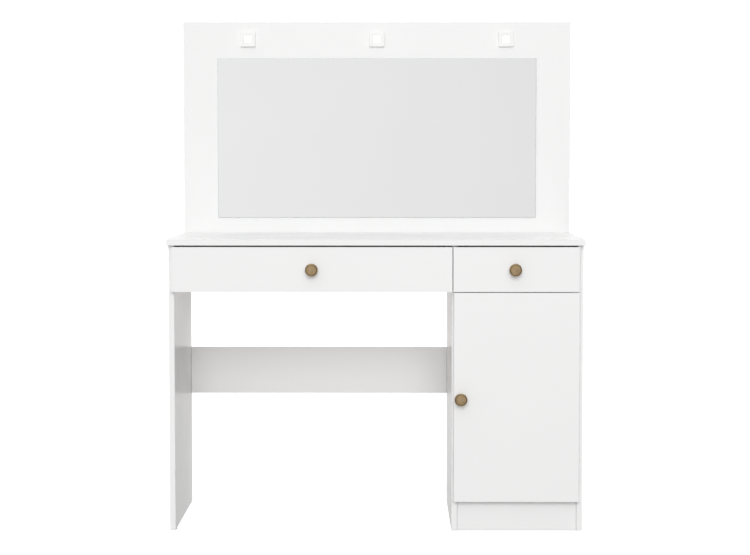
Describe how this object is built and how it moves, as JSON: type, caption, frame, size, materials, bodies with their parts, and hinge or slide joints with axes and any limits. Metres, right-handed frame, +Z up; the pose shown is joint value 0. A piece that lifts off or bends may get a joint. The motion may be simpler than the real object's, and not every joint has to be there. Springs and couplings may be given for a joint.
{
  "type": "vanity table with mirror",
  "caption": "Vanity table with a knee space, drawers over it and over a door cabinet, and a tall rear panel that carries a wide mirror and square lights.",
  "frame": {"origin": "on the floor, under the middle of the whole object's box", "axes": "+X to the right seen from the front, +Y to the back, +Z up"},
  "size_m": [1.08, 0.4886, 1.348],
  "materials": {
    "white_laminate": "glossy white laminate on chipboard",
    "drawer_laminate": "satin white laminate",
    "hardboard": "thin board, white lacquer on one face",
    "mirror_glass": "silvered float glass",
    "antique_brass": "antique brass, soft satin",
    "zinc_steel": "zinc-plated steel",
    "white_plastic": "white moulded plastic",
    "light_diffuser": "frosted, lit from inside",
    "black_plastic": "moulded",
    "glide_plastic": "moulded"
  },
  "bodies": {
    "carcass": {"tabletop": "white_laminate", "left_side_panel": "white_laminate", "divider_panel": "white_laminate", "right_side_panel": "white_laminate", "drawer_board": "white_laminate", "cabinet_bottom": "white_laminate", "cabinet_shelf": "white_laminate", "plinth": "white_laminate", "back_stretcher": "white_laminate", "cabinet_back": "hardboard", "mirror_panel": "white_laminate", "mirror": "mirror_glass", "left_side_panel_front_glide": "glide_plastic", "left_side_panel_back_glide": "glide_plastic", "divider_panel_front_glide": "glide_plastic", "divider_panel_back_glide": "glide_plastic", "right_side_panel_front_glide": "glide_plastic", "right_side_panel_back_glide": "glide_plastic", "left_light_housing": "white_plastic", "left_light_diffuser": "light_diffuser", "middle_light_housing": "white_plastic", "middle_light_diffuser": "light_diffuser", "right_light_housing": "white_plastic", "right_light_diffuser": "light_diffuser", "cable_raceway": "white_plastic", "cable_raceway_drop": "white_plastic", "power_inlet": "black_plastic", "lower_hinge_arm": "zinc_steel", "upper_hinge_arm": "zinc_steel", "left_drawer_left_slide_cabinet_member": "zinc_steel", "left_drawer_right_slide_cabinet_member": "zinc_steel", "right_drawer_left_slide_cabinet_member": "zinc_steel", "right_drawer_right_slide_cabinet_member": "zinc_steel"},
    "left_drawer": {"left_drawer_front": "white_laminate", "left_drawer_left_side": "drawer_laminate", "left_drawer_right_side": "drawer_laminate", "left_drawer_back": "drawer_laminate", "left_drawer_bottom": "hardboard", "left_drawer_knob": "antique_brass", "left_drawer_knob_screw": "zinc_steel", "left_drawer_left_slide_drawer_member": "zinc_steel", "left_drawer_right_slide_drawer_member": "zinc_steel"},
    "left_drawer_middle_slides": {"left_drawer_left_slide_middle_member": "zinc_steel", "left_drawer_right_slide_middle_member": "zinc_steel"},
    "right_drawer": {"right_drawer_front": "white_laminate", "right_drawer_left_side": "drawer_laminate", "right_drawer_right_side": "drawer_laminate", "right_drawer_back": "drawer_laminate", "right_drawer_bottom": "hardboard", "right_drawer_knob": "antique_brass", "right_drawer_knob_screw": "zinc_steel", "right_drawer_left_slide_drawer_member": "zinc_steel", "right_drawer_right_slide_drawer_member": "zinc_steel"},
    "right_drawer_middle_slides": {"right_drawer_left_slide_middle_member": "zinc_steel", "right_drawer_right_slide_middle_member": "zinc_steel"},
    "door": {"door": "white_laminate", "door_knob": "antique_brass", "door_knob_screw": "zinc_steel", "lower_hinge_cup": "zinc_steel", "upper_hinge_cup": "zinc_steel"}
  },
  "joints": [
    {"name": "left_drawer_slide", "type": "slide", "parent": "carcass", "child": "left_drawer", "axis": [0, -1, 0], "range_m": [0, 0.35]},
    {"name": "left_middle_slide", "type": "slide", "parent": "carcass", "child": "left_drawer_middle_slides", "axis": [0, -1, 0], "range_m": [0, 0.175]},
    {"name": "right_drawer_slide", "type": "slide", "parent": "carcass", "child": "right_drawer", "axis": [0, -1, 0], "range_m": [0, 0.35]},
    {"name": "right_middle_slide", "type": "slide", "parent": "carcass", "child": "right_drawer_middle_slides", "axis": [0, -1, 0], "range_m": [0, 0.175]},
    {"name": "door_hinge", "type": "hinge", "parent": "carcass", "child": "door", "pos_m": [0.5188, -0.213, 0.3535], "axis": [0, 0, 1], "range_deg": [0, 95]}
  ],
  "couplings": [
    {"joint": "left_middle_slide", "follows": "left_drawer_slide", "ratio": 0.5},
    {"joint": "right_middle_slide", "follows": "right_drawer_slide", "ratio": 0.5}
  ]
}
